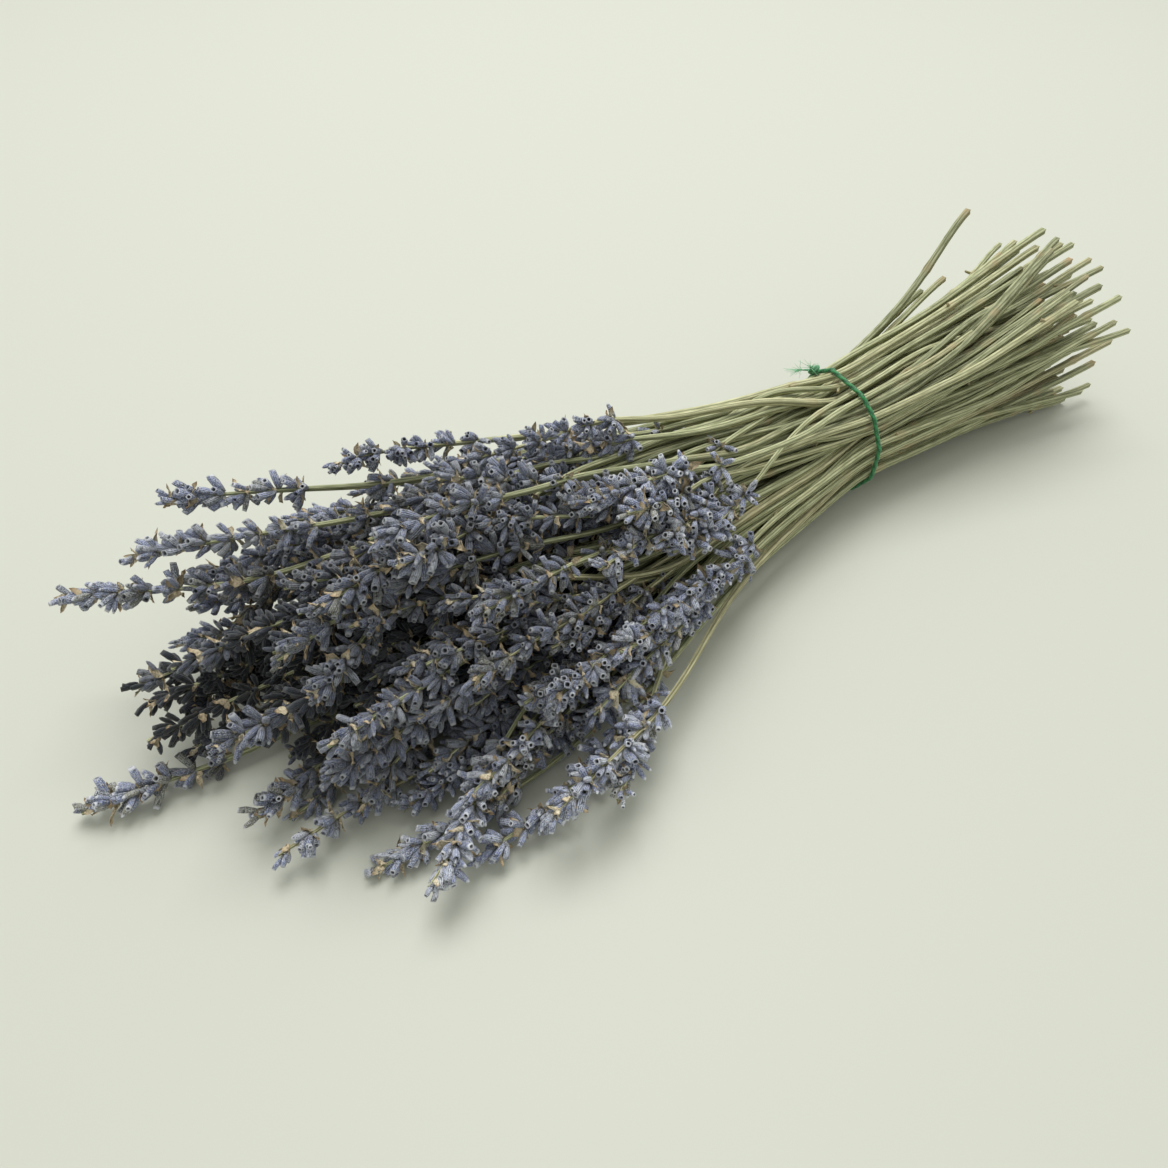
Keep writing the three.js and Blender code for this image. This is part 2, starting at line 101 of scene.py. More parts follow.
def sections(*nodes):
    """x, y, z and radius of the CAD solids' sections, from the flower tips to the cut ends."""
    corners = np.vstack([[v.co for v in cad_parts[n].data.vertices] for n in nodes])
    corners = corners[np.argsort(corners[:, 0])]
    breaks = np.flatnonzero(np.diff(corners[:, 0]) > 1e-4) + 1
    rows = []
    for ring in np.split(corners, breaks):
        ring = np.unique(ring.round(6), axis=0)
        centre = ring.mean(axis=0)
        rows.append([*centre, np.linalg.norm(ring - centre, axis=1).mean()])
    return np.array(rows).T


def centre_line(x, y, z):
    return np.column_stack([np.interp(stations, x, y), np.interp(stations, x, z)])


def refined(line):
    """The line with a smooth point added in the middle of each step."""
    far = np.vstack([2 * line[0] - line[1], line, 2 * line[-1] - line[-2]])
    fine = np.empty((2 * len(line) - 1, line.shape[1]))
    fine[::2] = line
    fine[1::2] = (9 * (line[:-1] + line[1:]) - far[:-3] - far[3:]) / 16
    return fine


def new_stalk(owner, tip, cut, line, firm, whorl_gap, curl):
    """A stalk: where it lies, its whorls as distances from its tip, and its tint. The whorls
    stand closer together at the tip, and one may stand apart below the spike."""
    places = [TIP_TO_FIRST_WHORL]
    for i in range(draw.randint(5, 7)):
        places.append(places[-1] + whorl_gap * (0.72 + 0.28 * min(1, i / 3)))
    spike = places[-1] + FOOT_OF_SPIKE
    if draw.random() < REMOTE_WHORL_CHANCE:
        places.append(places[-1] + draw.uniform(*REMOTE_WHORL_GAP))
    curling = np.clip((tip + spike + CURL_START - stations) / (spike + CURL_START), 0, 1) ** 2
    bend = np.array([draw.gauss(0, curl), draw.gauss(-0.2 * curl, 0.8 * curl)])
    return {"owner": owner, "tip": tip, "cut": cut, "line": line + curling[:, None] * bend,
            "firm": firm, "whorls": places, "spike": spike, "tint": draw.random()}


def sheaf_lines(centre, room, to_head, to_cut):
    """The lines of a sheaf's stalks. They start as a sunflower pattern across the sheaf's room,
    which twists along the sheaf. Each stalk also winds, sways and strays by itself."""
    twist = draw.uniform(-2.2, 2.2) * to_head + draw.uniform(-1.8, 1.8) * to_cut
    lines = []
    for i in range(STALKS_PER_SHEAF):
        share = 0.88 * math.sqrt((i + 0.5) / STALKS_PER_SHEAF)
        sway = draw.uniform(0, 6.3) + stations * draw.uniform(18, 34)
        own_twist = draw.gauss(0, 1.5) * to_cut + draw.gauss(0, 0.9) * to_head
        angle = GOLDEN_ANGLE * i + twist + own_twist + 0.45 * np.sin(sway)
        spread = (room - STEM_ROOM) * share * (1 + 0.2 * np.cos(sway * 1.3))
        stray = np.array([draw.gauss(0, 0.0075), draw.gauss(0, 0.006)])
        lines.append(centre + to_cut[:, None] ** 1.6 * stray
                     + spread[:, None] * np.column_stack([np.cos(angle), np.sin(angle)]))
    return lines


stalks = []
for number in outer_numbers:
    x, y, z, _ = sections("stem_" + number, "flower_spike_" + number)
    stalks.append(new_stalk("outer_" + number, x[0], x[-1], centre_line(x, y, z),
                            OUTER_FIRMNESS, draw.uniform(0.0068, 0.0082), OUTER_CURL))

sheaves = {n: sections(f"sheaf_{n}_stems", f"sheaf_{n}_flowers") for n in sheaf_numbers}
middle_line = np.mean([centre_line(*rows[:3]) for rows in sheaves.values()], axis=0)

for number, (x, y, z, reach) in sheaves.items():
    centre = centre_line(x, y, z)
    room = np.interp(stations, x, reach)
    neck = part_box(f"sheaf_{number}_stems")[0].x
    to_head = np.clip((tie_x - stations) / (tie_x - neck), 0, 1)
    to_cut = np.clip((stations - tie_x) / (x[-1] - tie_x), 0, 1)
    lines = sheaf_lines(centre, room, to_head, to_cut)
    # The stalks on the outside of the bunch are the shorter ones, so their flowers cover the
    # bare stems of the longer ones.
    amid = int(np.argmin(abs(stations - (x[0] + neck) / 2)))
    outward = centre[amid] - middle_line[amid]
    outward = outward / np.linalg.norm(outward) + (-0.25, 0.6)
    depth = [(line[amid] - centre[amid]) @ outward + draw.gauss(0, 0.003) for line in lines]
    for rank, i in enumerate(np.argsort(depth)):
        share = rank / (STALKS_PER_SHEAF - 1)
        tip = x[0] + (neck - 0.026 - x[0]) * share ** 1.1 + draw.uniform(0, 0.004)
        cut = x[-1] - draw.uniform(-0.003, 0.026)
        stalks.append(new_stalk("sheaf_" + number, tip, cut, lines[i],
                                SHEAF_FIRMNESS, draw.uniform(0.0056, 0.0074), SHEAF_CURL))

place = np.array([s["line"] for s in stalks])
goal = place.copy()
from_tip = stations[None] - np.array([s["tip"] for s in stalks])[:, None]
to_end = np.array([s["cut"] for s in stalks])[:, None] - stations[None]
present = (from_tip > -STATION_STEP) & (to_end > -STATION_STEP)
flowering = from_tip < np.array([s["spike"] for s in stalks])[:, None]
grown = np.clip(from_tip / SPIKE_TAPER, 0.35, 1)
room = np.where(flowering, SPIKE_ROOM * grown, STEM_ROOM)
floor_room = np.where(flowering, SPIKE_FLOOR_ROOM * grown, STEM_ROOM)
firm = np.array([s["firm"] for s in stalks])[:, None, None]

# The stalks settle: each is drawn to its first line, straightened, pulled in at the tie, pushed
# off its neighbours and kept above the table. All but the last two fade away pass by pass.
for turn in range(SETTLING_PASSES):
    ease = 1 - turn / SETTLING_PASSES
    place += (goal - place) * firm * ease
    middle = (place[:, :-2] + place[:, 2:]) / 2
    place[:, 1:-1] += (middle - place[:, 1:-1]) * STRAIGHTENING * ease
    for k in (at_tie - 1, at_tie, at_tie + 1):
        place[:, k] += ((tie_y, tie_z) - place[:, k]) * PULL_OF_TIE * ease
    for k in range(len(stations)):
        here = np.flatnonzero(present[:, k])
        p = place[here, k]
        apart = p[:, None] - p[None]
        distance = np.linalg.norm(apart, axis=2) + 1e-9
        overlap = np.clip(room[here, k][:, None] + room[here, k][None] - distance, 0, None)
        np.fill_diagonal(overlap, 0)
        push = (apart / distance[..., None] * overlap[..., None]).sum(axis=1)
        place[here, k] += push * PUSH_APART
    place[:, :, 1] = np.maximum(place[:, :, 1], floor_room)

for stalk, line in zip(stalks, place):
    for _ in range(SMOOTHING_PASSES):
        line[1:-1] = (line[:-2] + 2 * line[1:-1] + line[2:]) / 4
    fine_x, line = refined(stations[:, None])[:, 0], refined(line)
    inside = (fine_x > stalk["tip"] + END_GAP) & (fine_x < stalk["cut"] - END_GAP)
    x = np.array([stalk["tip"], *fine_x[inside], stalk["cut"]])
    y, z = np.interp(x, fine_x, line[:, 0]), np.interp(x, fine_x, line[:, 1])
    stalk["path"] = np.column_stack([x, y, z])
    steps = np.linalg.norm(np.diff(stalk["path"], axis=0), axis=1)
    stalk["run"] = np.concatenate([[0], np.cumsum(steps)])


# ---- Stems --------------------------------------------------------------------------------
# A lavender stem is woody and square, with a shallow groove down each side. It thins to a
# rachis inside its spike, dries to sage green, and is cut across. At a node or two it swells,
# and carries the stub of a side shoot that was stripped off.
STEM_CORNER = 0.00134       # from a stem's middle to its corners
STEM_GIRTHS = (0.74, 1.04)
RACHIS_CORNER = 0.0005
RACHIS_GROWTH = 0.10        # how far below the flowers a stem reaches its full thickness
GROOVE_SHARE = 0.62         # the grooves' distance from the middle, as a share of the corners'
NODE_SWELL = 0.22
NODE_LENGTH = 0.0018
NODE_DRYNESS = 0.35
STUB_CHANCE = 0.5
STUB_CORNER = 0.0006
STUB_LENGTH = (0.0022, 0.0042)
CUT_DRYNESS = 0.005         # how far a brown cut end reaches
FIBRES_PER_METRE = 2600.0
PATCHES_PER_METRE = 330.0
STEM_GIRTH = 0.009
FIBRE_STRETCH = 0.07
PRESSED = 0.0005            # what lies lower than this is pressed against the table


def colour(code):
    """A linear colour from its sRGB hex code."""
    parts = [int(code[i:i + 2], 16) / 255 for i in (1, 3, 5)]
    return [p / 12.92 if p <= 0.04045 else ((p + 0.055) / 1.055) ** 2.4 for p in parts] + [1]


def add_node(tree, kind, inputs=None, **settings):
    """Adds a node with its settings, and gives each input its value or the socket feeding it."""
    node = tree.nodes.new(kind)
    for name, value in settings.items():
        setattr(node, name, value)
    for key, value in (inputs or {}).items():
        if isinstance(value, bpy.types.NodeSocket):
            tree.links.new(value, node.inputs[key])
        else:
            node.inputs[key].default_value = value
    return node


def ramp(tree, factor, stops):
    """A colour ramp through (position, hex colour) stops."""
    node = add_node(tree, "ShaderNodeValToRGB", {0: factor})
    while len(node.color_ramp.elements) < len(stops):
        node.color_ramp.elements.new(1)
    for element, (position, code) in zip(node.color_ramp.elements, stops):
        element.position = position
        element.color = colour(code)
    return node.outputs[0]


def mix(tree, factor, a, b, how="MIX"):
    node = add_node(tree, "ShaderNodeMix", {0: factor, 6: a, 7: b},
                    data_type="RGBA", blend_type=how)
    return node.outputs[2]


def attribute(tree, name):
    return add_node(tree, "ShaderNodeAttribute", attribute_name=name)


def noise(tree, vector, scale, detail=3.0, roughness=0.55):
    return add_node(tree, "ShaderNodeTexNoise", {"Vector": vector, "Scale": scale, "Detail": detail,
                                                 "Roughness": roughness}).outputs[0]


def calculate(tree, operation, a, b=0.0, clamp=False):
    return add_node(tree, "ShaderNodeMath", {0: a, 1: b}, operation=operation,
                    use_clamp=clamp).outputs[0]


def between(tree, value, low, high):
    """0 below low, 1 above high, and even in between."""
    return add_node(tree, "ShaderNodeMapRange", {0: value, 1: low, 2: high}).outputs[0]


def finish_material(tree, base, height, bump, roughness, **constants):
    """The surface: its colour and relief, and constants set on the shader's own sockets."""
    relief = add_node(tree, "ShaderNodeBump", {"Height": height, "Strength": bump[0],
                                               "Distance": bump[1]})
    surface = add_node(tree, "ShaderNodeBsdfPrincipled",
                       {"Base Color": base, "Roughness": roughness, "Normal": relief.outputs[0]})
    for name, value in constants.items():
        surface.inputs[name.replace("_", " ")].default_value = value
    add_node(tree, "ShaderNodeOutputMaterial", {0: surface.outputs[0]})


def new_material(name):
    material = bpy.data.materials.new(name)
    material.use_nodes = True
    material.node_tree.nodes.clear()
    return material, material.node_tree


def dried_stem():
    """Dried woody stem, matte. Fibres run along it about 0.4 mm apart, its grooves are darkened
    with painted shade, its brown cut end is drier, and each stalk has its own shade from sage to
    straw."""
    material, tree = new_material("dried_lavender_stem")
    across = calculate(tree, "MULTIPLY", attribute(tree, "around").outputs[2], STEM_GIRTH)
    along = calculate(tree, "MULTIPLY", attribute(tree, "run").outputs[2], FIBRE_STRETCH)
    tint = attribute(tree, "tint").outputs[2]
    offset = calculate(tree, "MULTIPLY", tint, 3.0)
    grain = add_node(tree, "ShaderNodeCombineXYZ", {0: across, 1: along, 2: offset}).outputs[0]
    fibres = noise(tree, grain, FIBRES_PER_METRE)
    patches = noise(tree, grain, PATCHES_PER_METRE, 2.0)
    base = ramp(tree, tint, [(0.0, "#767d57"), (0.2, "#969c70"), (0.45, "#aeb384"),
                             (0.7, "#c0c595"), (0.9, "#c9c697"), (1.0, "#a3926b")])
    base = mix(tree, between(tree, patches, 0.55, 0.8), base, colour("#b0a578"))
    base = mix(tree, between(tree, fibres, 0.35, 0.6), mix(tree, 0.45, base, colour("#454a28")),
               mix(tree, 0.35, base, colour("#ecebc6")))
    # Painted shade: the grooves down the stem's sides are darkened towards dark olive.
    base = mix(tree, between(tree, attribute(tree, "groove").outputs[2], 0.45, 0.95), base,
               mix(tree, 0.7, base, colour("#3a3f22")))
    base = mix(tree, attribute(tree, "dry").outputs[2], base, colour("#b0946f"))
    finish_material(tree, base, fibres, (0.5, 0.00012), 0.72, Specular_IOR_Level=0.35)
    return material


def stem_tree(material):
    """Geometry Nodes: sweeps a grooved square section along the stalks' lines."""
    tree = bpy.data.node_groups.new("sweep_stems", "GeometryNodeTree")
    for name, kind, default in [("Stalk lines", "Geometry", None), ("Section", "Object", None),
                                ("Corner size", "Float", STEM_CORNER)]:
        socket = tree.interface.new_socket(name, in_out="INPUT", socket_type="NodeSocket" + kind)
        if default is not None:
            socket.default_value = default
    tree.interface.new_socket("Stems", in_out="OUTPUT", socket_type="NodeSocketGeometry")
    given = add_node(tree, "NodeGroupInput").outputs
    lines = add_node(tree, "GeometryNodeMeshToCurve", {"Mesh": given["Stalk lines"]})
    section = add_node(tree, "GeometryNodeObjectInfo", {"Object": given["Section"]})
    outline = add_node(tree, "GeometryNodeMeshToCurve", {"Mesh": section.outputs["Geometry"]})
    thickness = add_node(tree, "GeometryNodeInputNamedAttribute", {"Name": "thickness"})
    size = calculate(tree, "MULTIPLY", thickness.outputs["Attribute"], given["Corner size"])
    swept = add_node(tree, "GeometryNodeCurveToMesh",
                     {"Curve": lines.outputs[0], "Profile Curve": outline.outputs[0],
                      "Scale": size, "Fill Caps": True})
    realised = add_node(tree, "GeometryNodeRealizeInstances", {"Geometry": swept.outputs[0]})
    painted = add_node(tree, "GeometryNodeSetMaterial",
                       {"Geometry": realised.outputs[0], "Material": material})
    add_node(tree, "NodeGroupOutput", {0: painted.outputs[0]})
    return tree


def grooved_section():
    """The stem's section: four corners and four grooves, on a circle of radius 1."""
    mesh = bpy.data.meshes.new("stem_section")
    angles = [math.pi / 4 * j for j in range(8)]
    sizes = [GROOVE_SHARE if j % 2 == 0 else 1 for j in range(8)]
    mesh.from_pydata([(s * math.cos(a), s * math.sin(a), 0) for a, s in zip(angles, sizes)],
                     [(j, (j + 1) % 8) for j in range(8)], [])
    # The groove value later sets the painted shade in the stem's grooves.
    mesh.attributes.new("groove", "FLOAT", "POINT").data.foreach_set("value", [1, 0] * 4)
    mesh.attributes.new("around", "FLOAT", "POINT").data.foreach_set(
        "value", [j / 8 for j in range(8)])
    return bpy.data.objects.new("stem_section", mesh)


def line_mesh(name, members):
    """The members' lines as edges, with what the sweep and the material need at each point."""
    points, edges = [], []
    values = {"thickness": [], "run": [], "tint": [], "dry": []}

    def add_line(path, thickness, run, tint, dry):
        first = len(points)
        points.extend(tuple(p) for p in path)
        edges.extend((i, i + 1) for i in range(first, len(points) - 1))
        values["thickness"].extend(thickness / STEM_CORNER)
        values["run"].extend(run)
        values["tint"].extend([tint] * len(path))
        values["dry"].extend(dry)

    for stalk in members:
        run, path = stalk["run"], stalk["path"]
        grown = np.clip((run - stalk["spike"] * 0.5) / RACHIS_GROWTH, 0, 1) ** 0.6
        thickness = RACHIS_CORNER + (STEM_CORNER * stalk["girth"] - RACHIS_CORNER) * grown
        dry = np.clip((run - run[-1] + CUT_DRYNESS) / CUT_DRYNESS, 0, 1) * draw.random() ** 5
        for node in stalk["nodes"]:
            bump = np.exp(-((run - node) / NODE_LENGTH) ** 2)
            thickness = thickness * (1 + NODE_SWELL * bump)
            dry = np.maximum(dry, NODE_DRYNESS * bump)
            if draw.random() < STUB_CHANCE:
                foot = np.array([np.interp(node, run, path[:, c]) for c in range(3)])
                turn, length = draw.uniform(0, 2 * math.pi), draw.uniform(*STUB_LENGTH)
                way = np.array([-0.75, 0.66 * math.cos(turn), 0.66 * math.sin(turn)]) * length
                along = np.array([0, 0.5, 1])
                add_line([foot + way * t for t in along], STUB_CORNER * np.array([1.2, 1, 0.8]),
                         along * length, stalk["tint"], [0, 0.2, 0.5])
        add_line(path, thickness, run, stalk["tint"], dry)
    mesh = bpy.data.meshes.new(name)
    mesh.from_pydata(points, edges, [])
    for key, numbers in values.items():
        mesh.attributes.new(key, "FLOAT", "POINT").data.foreach_set("value", numbers)
    return mesh


def grown_piece(name, mesh, tree, settings):
    """Runs a Geometry Nodes tree on a mesh and keeps the result as a plain mesh. What would reach
    below the table is pressed flat on it."""
    source = bpy.data.objects.new(name + "_source", mesh)
    bpy.context.scene.collection.objects.link(source)
    modifier = source.modifiers.new("grow", "NODES")
    modifier.node_group = tree
    for socket in tree.interface.items_tree:
        if socket.name in settings:
            modifier[socket.identifier] = settings[socket.name]
    evaluated = source.evaluated_get(bpy.context.evaluated_depsgraph_get())
    result = bpy.data.meshes.new_from_object(evaluated)
    source.modifiers.remove(modifier)
    bpy.data.objects.remove(source)
    piece = bpy.data.objects.new(name, result)
    bpy.context.scene.collection.objects.link(piece)
    result.polygons.foreach_set("use_smooth", [True] * len(result.polygons))
    corners = np.empty(len(result.vertices) * 3)
    result.vertices.foreach_get("co", corners)
    height = corners[2::3]
    low = height < PRESSED
    height[low] = PRESSED * np.exp((height[low] - PRESSED) / PRESSED)
    result.vertices.foreach_set("co", corners)
    return piece


for stalk in stalks:
    stalk["girth"] = draw.uniform(*STEM_GIRTHS)
    length = stalk["run"][-1]
    stalk["nodes"] = [length - draw.uniform(0.012, 0.05), length - draw.uniform(0.075, 0.16)]

stem_material = dried_stem()
stem_sweep = stem_tree(stem_material)
stem_section = grooved_section()

for owner in sorted({s["owner"] for s in stalks}):
    members = [s for s in stalks if s["owner"] == owner]
    kind, number = owner.split("_")
    node = "stem_" + number if kind == "outer" else f"sheaf_{number}_stems"
    name = ("outer_stalk_" if kind == "outer" else "sheaf_stalks_") + number
    piece = grown_piece(name, line_mesh(name, members), stem_sweep,
                        {"Section": stem_section, "Corner size": STEM_CORNER})
    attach(piece, "root")
    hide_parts(node)


# ---- Flower spikes ------------------------------------------------------------------------
# A spike is a row of whorls, each a crown of ribbed, tubular calyces that lean out from the
# rachis, open at the mouth, with papery tan bracts clasping their base. The petals have
# dropped, so what is left is slate violet with paler rims and a fine grey down.
CALYX_LENGTH = 0.0052
CALYX_RADIUS = 0.00092
CALYX_SIDES = 8
RIBS = 13
SHRIVEL = 0.09              # of the radius, in and out
MOTTLE_PER_METRE = 900.0
DOWN_PER_METRE = 4300.0
BRACT_LENGTH = 0.0044
BRACT_WIDTH = 0.0025
BRACT_THICKNESS = 0.00009
BRACT_CRUMPLE = 0.0005
VEINS_PER_METRE = 2400.0
BRACTS_PER_WHORL = 4
CALYCES_AT_TIP = (3, 6)
CALYCES_PER_WHORL = (11, 15)
CALYCES_PER_REMOTE_WHORL = (5, 8)
RACHIS_REACH = 0.0006       # from the rachis' middle to the foot of a calyx
LEAN_AT_TIP = 22            # of the calyces out of the rachis, in degrees
LEAN_IN_WHORLS = 42
LEAN_GAIN = 5               # from each whorl to the next one down, for the first four
SIZES_AT_TIP = (0.65, 0.85)
SPIKE_SIZES = (0.86, 1.06)
WHORL_SLANT = 0.33
LOOK_AHEAD = 0.004          # the stretch of stalk that gives a whorl its axis


def tube_mesh(name, rows, bend, sides=CALYX_SIDES):
    """A calyx from rows of height, radius and inside share, base first. It bends over in X and
    Y, and its side is shrivelled."""
    verts, faces, height, inside = [], [], [], []
    for z, r, deep in rows:
        over = (z / CALYX_LENGTH) ** 2
        for j in range(sides):
            a = 2 * math.pi * j / sides
            ridge = 1 + (1 - deep) * (SHRIVEL * (-1) ** j + draw.uniform(-SHRIVEL, SHRIVEL))
            verts.append((r * ridge * math.cos(a) + bend[0] * over,
                          r * ridge * math.sin(a) + bend[1] * over, z))
            height.append(z / CALYX_LENGTH)
            # The inside share later sets the painted shade in the calyx's throat.
            inside.append(deep)
    for i in range(len(rows) - 1):
        for j in range(sides):
            n = (j + 1) % sides
            faces.append((i * sides + j, i * sides + n, (i + 1) * sides + n, (i + 1) * sides + j))
    faces.append(tuple(range(sides))[::-1])
    faces.append(tuple(range((len(rows) - 1) * sides, len(rows) * sides)))
    mesh = bpy.data.meshes.new(name)
    mesh.from_pydata(verts, [], faces)
    mesh.attributes.new("height", "FLOAT", "POINT").data.foreach_set("value", height)
    mesh.attributes.new("inside", "FLOAT", "POINT").data.foreach_set("value", inside)
    around = mesh.attributes.new("around", "FLOAT", "CORNER")
    for face in mesh.polygons:
        columns = [mesh.loops[c].vertex_index % sides for c in face.loop_indices]
        wraps = max(columns) - min(columns) > sides / 2 and len(columns) == 4
        for corner, column in zip(face.loop_indices, columns):
            turned = column + sides if wraps and column == 0 else column
            around.data[corner].value = turned / sides
    return bpy.data.objects.new(name, mesh)


def open_calyx(name, width, mouth, bend, length):
    """A calyx with an open mouth, darkened inside with painted shade, a little narrower than its
    body.
    """
    outline = [(0, 0.4, 0), (0.24, 0.76, 0), (0.65, 1, 0), (1, mouth, 0),
               (0.985, mouth * 0.68, 0.4), (0.84, 0.4, 1)]
    return tube_mesh(name, [(z * CALYX_LENGTH * length, r * CALYX_RADIUS * width, deep)
                            for z, r, deep in outline], bend)


def shut_calyx(name, width, bend, length):
    """A bud, or a calyx whose mouth has withered shut."""
    outline = [(0, 0.4, 0), (0.24, 0.78, 0), (0.55, 0.98, 0), (0.86, 0.72, 0), (1, 0.25, 0)]
    return tube_mesh(name, [(z * CALYX_LENGTH * length, r * CALYX_RADIUS * width, deep)
                            for z, r, deep in outline], bend)


def bract_mesh(name, width, curl):
    """A pointed papery bract: a thin blade, cupped, crumpled and closed all round."""
    outline = [(0.0, 0.25), (0.2, 0.74), (0.42, 1.0), (0.63, 0.8), (0.82, 0.36)]
    crumples = [draw.uniform(-BRACT_CRUMPLE, BRACT_CRUMPLE) for _ in outline]
    verts, faces = [], []
    for lift in (0.0, -BRACT_THICKNESS):
        for (z, half), crumple in zip(outline, crumples):
            half = half * BRACT_WIDTH / 2 * width
            back = -curl * z * z * BRACT_LENGTH + lift
            for x, cup in ((-half, half * 0.5 + crumple), (0, 0), (half, half * 0.5 - crumple)):
                verts.append((x, back + cup, z * BRACT_LENGTH))
        verts.append((0, -curl * BRACT_LENGTH + lift, BRACT_LENGTH))
    per_side = 3 * len(outline) + 1
    for side in (0, 1):
        b = side * per_side
        blade = []
        for i in range(len(outline) - 1):
            for j in (0, 1):
                p = b + 3 * i + j
                blade.append((p, p + 1, p + 4, p + 3))
        top = b + 3 * (len(outline) - 1)
        blade += [(top, top + 1, b + per_side - 1), (top + 1, top + 2, b + per_side - 1)]
        faces += [f if side == 0 else f[::-1] for f in blade]
    rim = [3 * i for i in range(len(outline))] + [per_side - 1]
    rim += [3 * i + 2 for i in reversed(range(len(outline)))] + [1]
    for p, q in zip(rim, rim[1:] + rim[:1]):
        faces.append((p, p + per_side, q + per_side, q))
    mesh = bpy.data.meshes.new(name)
    mesh.from_pydata(verts, [], faces)
    height = [v.co.z / BRACT_LENGTH for v in mesh.vertices]
    mesh.attributes.new("height", "FLOAT", "POINT").data.foreach_set("value", height)
    return bpy.data.objects.new(name, mesh)


def kept_apart(name, shapes):
    """A collection outside the scene, from which the crowns pick their shapes."""
    collection = bpy.data.collections.new(name)
    for shape in shapes:
        collection.objects.link(shape)
    return collection


calyces = kept_apart("calyces", [
    open_calyx("calyx_a", 1.0, 0.82, (0.0, 0.0005), 1.0),
    open_calyx("calyx_b", 1.08, 0.86, (0.0004, 0.0009), 0.96),
    open_calyx("calyx_c", 0.9, 0.78, (-0.0005, 0.0002), 1.06),
    open_calyx("calyx_d", 1.02, 0.9, (0.0002, 0.0006), 0.88),
    shut_calyx("calyx_e", 0.98, (0.0006, 0.0007), 0.95),
    shut_calyx("calyx_f", 0.84, (-0.0006, 0.0003), 1.04)])
bracts = kept_apart("bracts", [
    bract_mesh("bract_a", 1.0, 0.1),
    bract_mesh("bract_b", 0.8, 0.3),
    bract_mesh("bract_c", 1.15, -0.05)])


def dried_calyx():
    """Dried calyx, matte and downy: slate blue violet, a few of them olive brown, with thirteen
    fine ribs whose furrows are darkened with painted shade, a pale rim, an olive base and a throat
    darkened to near black with painted shade. The down is drawn as pale flecks a quarter of a
    millimetre apart, coarser than it is. Flowers inside the bunch are darkened with painted shade."""
    material, tree = new_material("dried_lavender_calyx")
    place_on = add_node(tree, "ShaderNodeTexCoord").outputs["Object"]
    tint = attribute(tree, "tint").outputs[2]
    height = attribute(tree, "height").outputs[2]
    ribs = calculate(tree, "MULTIPLY", attribute(tree, "around").outputs[2], RIBS * 2 * math.pi)
    ribs = calculate(tree, "SINE", ribs)
    base = ramp(tree, tint, [(0.0, "#757359"), (0.15, "#a3a188"), (0.28, "#677290"),
                             (0.46, "#8592c1"), (0.64, "#a7b2da"), (0.82, "#ccd3e6"),
                             (1.0, "#f2f3f6")])
    mottle = noise(tree, place_on, MOTTLE_PER_METRE)
    base = mix(tree, between(tree, mottle, 0.5, 0.66), base, colour("#2b3238"))
    base = mix(tree, between(tree, height, 0.32, 0.0), base, colour("#85836a"))
    # Painted shade: the furrows between the ribs are darkened nearly to black, and the crests keep
    # the colour.
    furrow_shade = mix(tree, 0.84, base, colour("#15191b"))
    base = mix(tree, between(tree, ribs, -0.7, 0.6), furrow_shade, base)
    down = noise(tree, place_on, DOWN_PER_METRE, 2.0, 0.6)
    base = mix(tree, between(tree, down, 0.49, 0.6), base, mix(tree, 0.7, base, colour("#e8ebf0")))
    base = mix(tree, between(tree, height, 0.9, 0.99), base, colour("#dfe2e8"))
    # Painted shade: calyces deep inside the bunch are darkened towards #343939; only the outermost
    # keep their full colour.
    outer = between(tree, attribute(tree, "outside").outputs[2], 0.2, 0.85)
    shade = mix(tree, outer, colour("#343939"), colour("#ffffff"))
    base = mix(tree, 1.0, base, shade, "MULTIPLY")
    # Painted shade: the inside of the mouth is darkened to near black, more the deeper it goes.
    base = mix(tree, attribute(tree, "inside").outputs[2], base, colour("#0d0d10"))
    relief = calculate(tree, "ADD", ribs, calculate(tree, "MULTIPLY", down, 2.5))
    finish_material(tree, base, relief, (0.6, 0.0001), 0.8,
                    Sheen_Weight=0.3, Sheen_Roughness=0.5, Specular_IOR_Level=0.25)
    return material


def papery_bract():
    """Dried papery bract, pale golden tan with brown veins about 0.4 mm apart and a brown tip."""
    material, tree = new_material("papery_bract")
    place_on = add_node(tree, "ShaderNodeTexCoord").outputs["Object"]
    tint = attribute(tree, "tint").outputs[2]
    base = ramp(tree, tint, [(0.0, "#978a72"), (0.3, "#c2b192"), (0.6, "#dacbac"),
                             (0.85, "#e8dec2"), (1.0, "#bcbb9e")])
    veins = noise(tree, place_on, VEINS_PER_METRE)
    base = mix(tree, between(tree, veins, 0.5, 0.68), base, colour("#907f62"))
    base = mix(tree, between(tree, attribute(tree, "height").outputs[2], 0.6, 1.0), base,
               colour("#a08663"))
    finish_material(tree, base, veins, (0.5, 0.0001), 0.7, Specular_IOR_Level=0.3)
    return material


